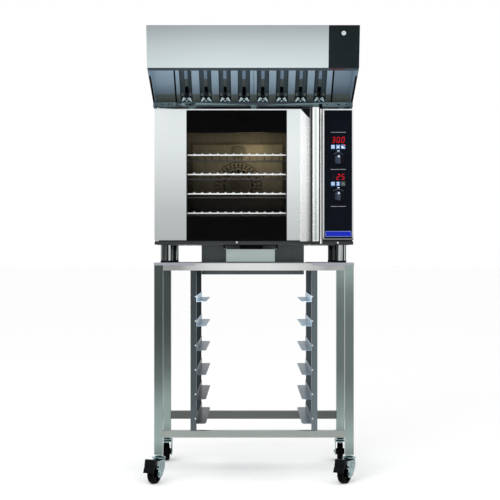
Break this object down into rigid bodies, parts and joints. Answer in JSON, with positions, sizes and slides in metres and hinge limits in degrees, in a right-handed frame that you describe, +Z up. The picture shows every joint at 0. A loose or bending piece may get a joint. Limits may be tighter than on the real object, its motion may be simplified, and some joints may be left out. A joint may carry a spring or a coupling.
{
  "type": "convection oven",
  "caption": "Freestanding electric convection oven with a side-hinged glass door, on a wheeled tray stand, under a ventless condensing hood with a rear column.",
  "frame": {"origin": "middle of the footprint's bounding rectangle, on the floor under the wheels", "axes": "+Z up, -Y towards the front (the door and the hood's visor), +X towards the control column on the right as seen from the front"},
  "size_m": [0.8628, 1.045, 1.7955],
  "materials": {
    "stand_steel": "satin",
    "caster_zinc": "polished",
    "caster_tyre": "matte",
    "pedal_black": "satin",
    "oven_steel": "satin",
    "dark_steel": "satin",
    "cavity_steel": "satin",
    "fibre": "matte",
    "seal_rubber": "matte",
    "element_steel": "satin",
    "motor_grey": "satin",
    "rotor_aluminium": "satin",
    "lamp_glass": "clear",
    "wire_chrome": "polished",
    "panel_glass": "gloss",
    "board": "matte",
    "foot_chrome": "polished",
    "hinge_steel": "satin",
    "screw_steel": "polished",
    "knob_black": "satin",
    "key_black": "satin",
    "tray_steel": "satin",
    "door_glass": "clear",
    "hood_steel": "satin",
    "hood_panel_black": "satin",
    "filter_steel": "satin",
    "duct_steel": "satin"
  },
  "bodies": {
    "oven_on_stand": {"caster_stems": "caster_zinc", "cavity_liner": "cavity_steel", "control_board": "board", "control_glass": "panel_glass", "control_housing": "oven_steel", "door_seal": "seal_rubber", "fan_baffle": "cavity_steel", "fan_motor": "motor_grey", "filter_frame": "dark_steel", "front_frame": "dark_steel", "grease_filters": "filter_steel", "heating_element": "element_steel", "hinge_brackets": "hinge_steel", "hood_blower": "motor_grey", "hood_control_panel": "hood_panel_black", "hood_fascia": "hood_steel", "hood_shell": "hood_steel", "insulation": "fibre", "oven_base": "dark_steel", "oven_case": "oven_steel", "oven_feet": "foot_chrome", "oven_lamp": "lamp_glass", "rear_duct": "duct_steel", "runner_uprights": "stand_steel", "screws": "screw_steel", "side_racks": "wire_chrome", "stand_legs": "stand_steel", "stand_rails": "stand_steel", "tray_runners": "stand_steel"},
    "door": {"door_pan": "dark_steel", "door_skins": "oven_steel", "door_glass_outer": "door_glass", "door_glass_inner": "door_glass", "door_handle": "oven_steel"},
    "rack_1": {"wire_rack_1": "wire_chrome"},
    "rack_2": {"wire_rack_2": "wire_chrome"},
    "rack_3": {"wire_rack_3": "wire_chrome"},
    "rack_4": {"wire_rack_4": "wire_chrome"},
    "temperature_knob": {"knob_temperature": "knob_black"},
    "timer_knob": {"knob_timer": "knob_black"},
    "tray": {"drip_tray": "tray_steel"},
    "oven_fan": {"fan_rotor": "rotor_aluminium"},
    "hood_fan": {"blower_wheel": "rotor_aluminium"},
    "hood_switch": {"hood_button": "hood_panel_black"},
    "button_1": {"key_1": "key_black"},
    "button_2": {"key_2": "key_black"},
    "button_3": {"key_3": "key_black"},
    "button_4": {"key_4": "key_black"},
    "button_5": {"key_5": "key_black"},
    "button_6": {"key_6": "key_black"},
    "swivel_fl": {"caster_fork_fl": "caster_zinc"},
    "wheel_fl": {"caster_wheel_fl": "caster_tyre"},
    "swivel_fr": {"caster_fork_fr": "caster_zinc"},
    "wheel_fr": {"caster_wheel_fr": "caster_tyre"},
    "swivel_rl": {"caster_fork_rl": "caster_zinc"},
    "wheel_rl": {"caster_wheel_rl": "caster_tyre"},
    "swivel_rr": {"caster_fork_rr": "caster_zinc"},
    "wheel_rr": {"caster_wheel_rr": "caster_tyre"},
    "pedal_fl": {"caster_pedal_fl": "pedal_black"},
    "pedal_fr": {"caster_pedal_fr": "pedal_black"}
  },
  "joints": [
    {"name": "door_swing", "type": "hinge", "parent": "oven_on_stand", "child": "door", "pos_m": [-0.37887, -0.1455, 1.2505], "axis": [0, 0, -1], "range_deg": [0, 115]},
    {"name": "rack_1_slide", "type": "slide", "parent": "oven_on_stand", "child": "rack_1", "axis": [0, -1, 0], "range_m": [0, 0.018]},
    {"name": "rack_2_slide", "type": "slide", "parent": "oven_on_stand", "child": "rack_2", "axis": [0, -1, 0], "range_m": [0, 0.018]},
    {"name": "rack_3_slide", "type": "slide", "parent": "oven_on_stand", "child": "rack_3", "axis": [0, -1, 0], "range_m": [0, 0.018]},
    {"name": "rack_4_slide", "type": "slide", "parent": "oven_on_stand", "child": "rack_4", "axis": [0, -1, 0], "range_m": [0, 0.018]},
    {"name": "temperature_knob_turn", "type": "hinge", "parent": "oven_on_stand", "child": "temperature_knob", "pos_m": [0.35813, -0.1675, 1.3135], "axis": [0, -1, 0], "continuous": true},
    {"name": "timer_knob_turn", "type": "hinge", "parent": "oven_on_stand", "child": "timer_knob", "pos_m": [0.35813, -0.1675, 1.1645], "axis": [0, -1, 0], "continuous": true},
    {"name": "button_1_press", "type": "slide", "parent": "oven_on_stand", "child": "button_1", "axis": [0, 1, 0], "range_m": [0, 0.0008], "stiffness_N_per_m": 900, "springref_m": -0.0006},
    {"name": "button_2_press", "type": "slide", "parent": "oven_on_stand", "child": "button_2", "axis": [0, 1, 0], "range_m": [0, 0.0008], "stiffness_N_per_m": 900, "springref_m": -0.0006},
    {"name": "button_3_press", "type": "slide", "parent": "oven_on_stand", "child": "button_3", "axis": [0, 1, 0], "range_m": [0, 0.0008], "stiffness_N_per_m": 900, "springref_m": -0.0006},
    {"name": "button_4_press", "type": "slide", "parent": "oven_on_stand", "child": "button_4", "axis": [0, 1, 0], "range_m": [0, 0.0008], "stiffness_N_per_m": 900, "springref_m": -0.0006},
    {"name": "button_5_press", "type": "slide", "parent": "oven_on_stand", "child": "button_5", "axis": [0, 1, 0], "range_m": [0, 0.0008], "stiffness_N_per_m": 900, "springref_m": -0.0006},
    {"name": "button_6_press", "type": "slide", "parent": "oven_on_stand", "child": "button_6", "axis": [0, 1, 0], "range_m": [0, 0.0008], "stiffness_N_per_m": 900, "springref_m": -0.0006},
    {"name": "hood_switch_press", "type": "slide", "parent": "oven_on_stand", "child": "hood_switch", "axis": [0, 0.9687, 0.2484], "range_m": [0, 0.0015], "stiffness_N_per_m": 800, "springref_m": -0.001},
    {"name": "drip_tray_slide", "type": "slide", "parent": "oven_on_stand", "child": "tray", "axis": [0, -1, 0], "range_m": [0, 0.28]},
    {"name": "oven_fan_spin", "type": "hinge", "parent": "oven_on_stand", "child": "oven_fan", "pos_m": [-0.05387, 0.2625, 1.2295], "axis": [0, -1, 0], "continuous": true},
    {"name": "hood_fan_spin", "type": "hinge", "parent": "oven_on_stand", "child": "hood_fan", "pos_m": [0.01013, 0.2625, 1.6785], "axis": [1, 0, 0], "continuous": true},
    {"name": "swivel_fl_turn", "type": "hinge", "parent": "oven_on_stand", "child": "swivel_fl", "pos_m": [-0.37337, -0.165, 0.0905], "axis": [0, 0, 1], "continuous": true},
    {"name": "wheel_fl_roll", "type": "hinge", "parent": "swivel_fl", "child": "wheel_fl", "pos_m": [-0.389, -0.19853, 0.04], "axis": [-0.9063, 0.4226, 0], "continuous": true},
    {"name": "pedal_fl_lift", "type": "hinge", "parent": "swivel_fl", "child": "pedal_fl", "pos_m": [-0.39365, -0.2085, 0.07], "axis": [-0.9063, 0.4226, 0], "range_deg": [0, 12]},
    {"name": "swivel_fr_turn", "type": "hinge", "parent": "oven_on_stand", "child": "swivel_fr", "pos_m": [0.40164, -0.165, 0.0905], "axis": [0, 0, 1], "continuous": true},
    {"name": "wheel_fr_roll", "type": "hinge", "parent": "swivel_fr", "child": "wheel_fr", "pos_m": [0.38041, -0.19531, 0.04], "axis": [-0.8192, 0.5736, 0], "continuous": true},
    {"name": "pedal_fr_lift", "type": "hinge", "parent": "swivel_fr", "child": "pedal_fr", "pos_m": [0.3741, -0.20432, 0.07], "axis": [-0.8192, 0.5736, 0], "range_deg": [0, 12]},
    {"name": "swivel_rl_turn", "type": "hinge", "parent": "oven_on_stand", "child": "swivel_rl", "pos_m": [-0.37337, 0.344, 0.0905], "axis": [0, 0, 1], "continuous": true},
    {"name": "wheel_rl_roll", "type": "hinge", "parent": "swivel_rl", "child": "wheel_rl", "pos_m": [-0.37915, 0.38054, 0.04], "axis": [0.9877, 0.1564, 0], "continuous": true},
    {"name": "swivel_rr_turn", "type": "hinge", "parent": "oven_on_stand", "child": "swivel_rr", "pos_m": [0.40164, 0.344, 0.0905], "axis": [0, 0, 1], "continuous": true},
    {"name": "wheel_rr_roll", "type": "hinge", "parent": "swivel_rr", "child": "wheel_rr", "pos_m": [0.40357, 0.38095, 0.04], "axis": [0.9986, -0.0523, 0], "continuous": true}
  ]
}
